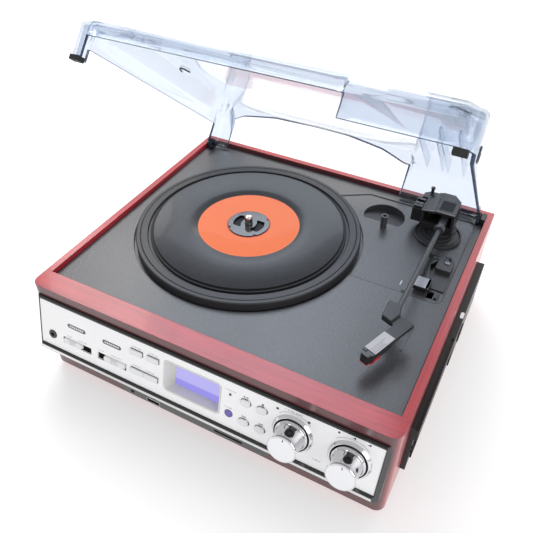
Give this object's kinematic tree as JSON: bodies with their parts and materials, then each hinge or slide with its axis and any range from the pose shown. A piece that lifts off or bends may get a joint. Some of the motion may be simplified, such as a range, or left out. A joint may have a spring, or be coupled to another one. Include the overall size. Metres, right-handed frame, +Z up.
{
  "type": "stereo music centre",
  "caption": "Wooden table-top music centre: belt-driven record player under a hinged clear cover, tilted silver control panel with display and knobs, side cassette slot.",
  "frame": {"origin": "middle of the wooden cabinet's footprint, on the surface that the feet stand on", "axes": "+X to the right as seen from the front, +Y to the back, +Z up; the control panel faces -Y"},
  "size_m": [0.3277, 0.319, 0.2907],
  "materials": {
    "cherry_wood": "satin grained veneer",
    "black_board": "matt",
    "black_rubber": "matt",
    "screw_steel": "bright zinc",
    "deck_black": "fine leather grain",
    "bearing_brass": "turned",
    "motor_steel": "plated",
    "belt_rubber": "matt",
    "arm_black": "satin",
    "circuit_green": "varnished",
    "chassis_grey": "satin",
    "speaker_black": "matt",
    "housing_black": "satin gloss",
    "panel_silver": "fine satin paint",
    "knob_chrome": "polished",
    "tub_grey": "satin",
    "display_violet": "lit",
    "window_purple": "polished",
    "platter_black": "satin",
    "mat_black": "ribbed",
    "vinyl": "grooved gloss",
    "tube_grey": "satin",
    "cartridge_silver": "satin",
    "stylus_red": "clear red",
    "button_white": "satin",
    "clear_cover": "smoky clear acrylic",
    "clip_steel": "drawn wire"
  },
  "bodies": {
    "cabinet": {"front_board": "cherry_wood", "left_side_board": "cherry_wood", "right_side_board": "cherry_wood", "rear_board": "cherry_wood", "base_board": "black_board", "feet": "black_rubber", "screws": "screw_steel", "top_deck": "deck_black", "spindle_bearing": "bearing_brass", "drive_motor": "motor_steel", "drive_belt": "belt_rubber", "arm_base": "arm_black", "arm_rest": "arm_black", "main_circuit_board": "circuit_green", "control_circuit_board": "circuit_green", "cassette_mechanism": "chassis_grey", "speakers": "speaker_black", "rear_socket_plate": "arm_black", "panel_housing": "housing_black", "front_plate": "panel_silver", "knob_bezels": "knob_chrome", "display_tub": "tub_grey", "display_glass": "display_violet", "remote_window": "window_purple", "headphone_jack": "housing_black", "socket_pod": "housing_black", "usb_socket": "screw_steel", "side_fascia": "housing_black", "hinge_blocks": "arm_black"},
    "platter_body": {"spindle": "screw_steel", "platter": "platter_black", "slip_mat": "mat_black", "record": "vinyl", "record_adapter": "arm_black"},
    "pulley_body": {"motor_pulley": "button_white"},
    "turret_body": {"arm_turret": "arm_black"},
    "arm_body": {"arm_tube": "tube_grey", "headshell": "arm_black", "cartridge": "cartridge_silver", "stylus": "stylus_red"},
    "cue_lever_body": {"cue_lever": "arm_black"},
    "lift_body": {"lift_platform": "chassis_grey"},
    "speed_switch_body": {"speed_switch": "arm_black"},
    "cover_body": {"dust_cover": "clear_cover", "lid_feet": "black_rubber", "lid_clip": "clip_steel"},
    "tuning_body": {"tuning_knob": "knob_chrome"},
    "volume_body": {"volume_knob": "knob_chrome"},
    "function_body": {"function_knob": "button_white"},
    "band_body": {"band_knob": "button_white"},
    "cassette_door_body": {"cassette_door": "housing_black"},
    "eject_body": {"eject_button": "housing_black"},
    "key_body_1": {"key_button_1": "button_white"},
    "oval_body_1": {"oval_button_1": "button_white"},
    "key_body_2": {"key_button_2": "button_white"},
    "oval_body_2": {"oval_button_2": "button_white"},
    "key_body_3": {"key_button_3": "button_white"},
    "oval_body_3": {"oval_button_3": "button_white"},
    "key_body_4": {"key_button_4": "button_white"},
    "oval_body_4": {"oval_button_4": "button_white"}
  },
  "joints": [
    {"name": "platter_spin", "type": "hinge", "parent": "cabinet", "child": "platter_body", "pos_m": [-0.0373, 0.0115, 0.095], "axis": [0, 0, 1], "continuous": true},
    {"name": "pulley_spin", "type": "hinge", "parent": "cabinet", "child": "pulley_body", "pos_m": [0.0227, -0.0485, 0.098], "axis": [0, 0, 1], "continuous": true},
    {"name": "cover_tilt", "type": "hinge", "parent": "cabinet", "child": "cover_body", "pos_m": [0, 0.127, 0.1], "axis": [1, 0, 0], "range_deg": [0, 41]},
    {"name": "arm_swing", "type": "hinge", "parent": "cabinet", "child": "turret_body", "pos_m": [0.12, 0.098, 0.104], "axis": [0, 0, -1], "range_deg": [0, 46]},
    {"name": "arm_lift", "type": "hinge", "parent": "turret_body", "child": "arm_body", "pos_m": [0.12, 0.098, 0.118], "axis": [-1, 0, 0], "range_deg": [-0.8, 4]},
    {"name": "cue_lever_tilt", "type": "hinge", "parent": "cabinet", "child": "cue_lever_body", "pos_m": [0.1285, 0.05, 0.1016], "axis": [-1, 0, 0], "range_deg": [0, 10]},
    {"name": "lift_rise", "type": "slide", "parent": "cabinet", "child": "lift_body", "axis": [0, 0, 1], "range_m": [0, 0.002]},
    {"name": "speed_switch_slide", "type": "slide", "parent": "cabinet", "child": "speed_switch_body", "axis": [1, 0, 0], "range_m": [-0.005, 0]},
    {"name": "tuning_turn", "type": "hinge", "parent": "cabinet", "child": "tuning_body", "pos_m": [0.0865, -0.14746, 0.06895], "axis": [0, -0.9703, 0.2419], "range_deg": [-140, 140]},
    {"name": "volume_turn", "type": "hinge", "parent": "cabinet", "child": "volume_body", "pos_m": [0.1305, -0.14746, 0.06895], "axis": [0, -0.9703, 0.2419], "range_deg": [-150, 150]},
    {"name": "function_slide", "type": "slide", "parent": "cabinet", "child": "function_body", "axis": [1, 0, 0], "range_m": [0, 0.0088]},
    {"name": "band_slide", "type": "slide", "parent": "cabinet", "child": "band_body", "axis": [1, 0, 0], "range_m": [-0.0058, 0.0004]},
    {"name": "key_press_1", "type": "slide", "parent": "cabinet", "child": "key_body_1", "axis": [0, 0.9703, -0.2419], "range_m": [0, 0.001], "stiffness_N_per_m": 200},
    {"name": "key_press_2", "type": "slide", "parent": "cabinet", "child": "key_body_2", "axis": [0, 0.9703, -0.2419], "range_m": [0, 0.001], "stiffness_N_per_m": 200},
    {"name": "key_press_3", "type": "slide", "parent": "cabinet", "child": "key_body_3", "axis": [0, 0.9703, -0.2419], "range_m": [0, 0.001], "stiffness_N_per_m": 200},
    {"name": "key_press_4", "type": "slide", "parent": "cabinet", "child": "key_body_4", "axis": [0, 0.9703, -0.2419], "range_m": [0, 0.001], "stiffness_N_per_m": 200},
    {"name": "oval_press_1", "type": "slide", "parent": "cabinet", "child": "oval_body_1", "axis": [0, 0.9703, -0.2419], "range_m": [0, 0.001], "stiffness_N_per_m": 200},
    {"name": "oval_press_2", "type": "slide", "parent": "cabinet", "child": "oval_body_2", "axis": [0, 0.9703, -0.2419], "range_m": [0, 0.001], "stiffness_N_per_m": 200},
    {"name": "oval_press_3", "type": "slide", "parent": "cabinet", "child": "oval_body_3", "axis": [0, 0.9703, -0.2419], "range_m": [0, 0.001], "stiffness_N_per_m": 200},
    {"name": "oval_press_4", "type": "slide", "parent": "cabinet", "child": "oval_body_4", "axis": [0, 0.9703, -0.2419], "range_m": [0, 0.001], "stiffness_N_per_m": 200},
    {"name": "cassette_door_swing", "type": "hinge", "parent": "cabinet", "child": "cassette_door_body", "pos_m": [0.1615, -0.0455, 0.0486], "axis": [0, 1, 0], "range_deg": [0, 75], "stiffness_Nm_per_rad": 0.01},
    {"name": "eject_press", "type": "slide", "parent": "cabinet", "child": "eject_body", "axis": [-1, 0, 0], "range_m": [0, 0.003], "stiffness_N_per_m": 300}
  ],
  "couplings": [
    {"joint": "pulley_spin", "follows": "platter_spin", "ratio": 12},
    {"joint": "lift_rise", "follows": "cue_lever_tilt", "m_per_rad": 0.01145}
  ]
}
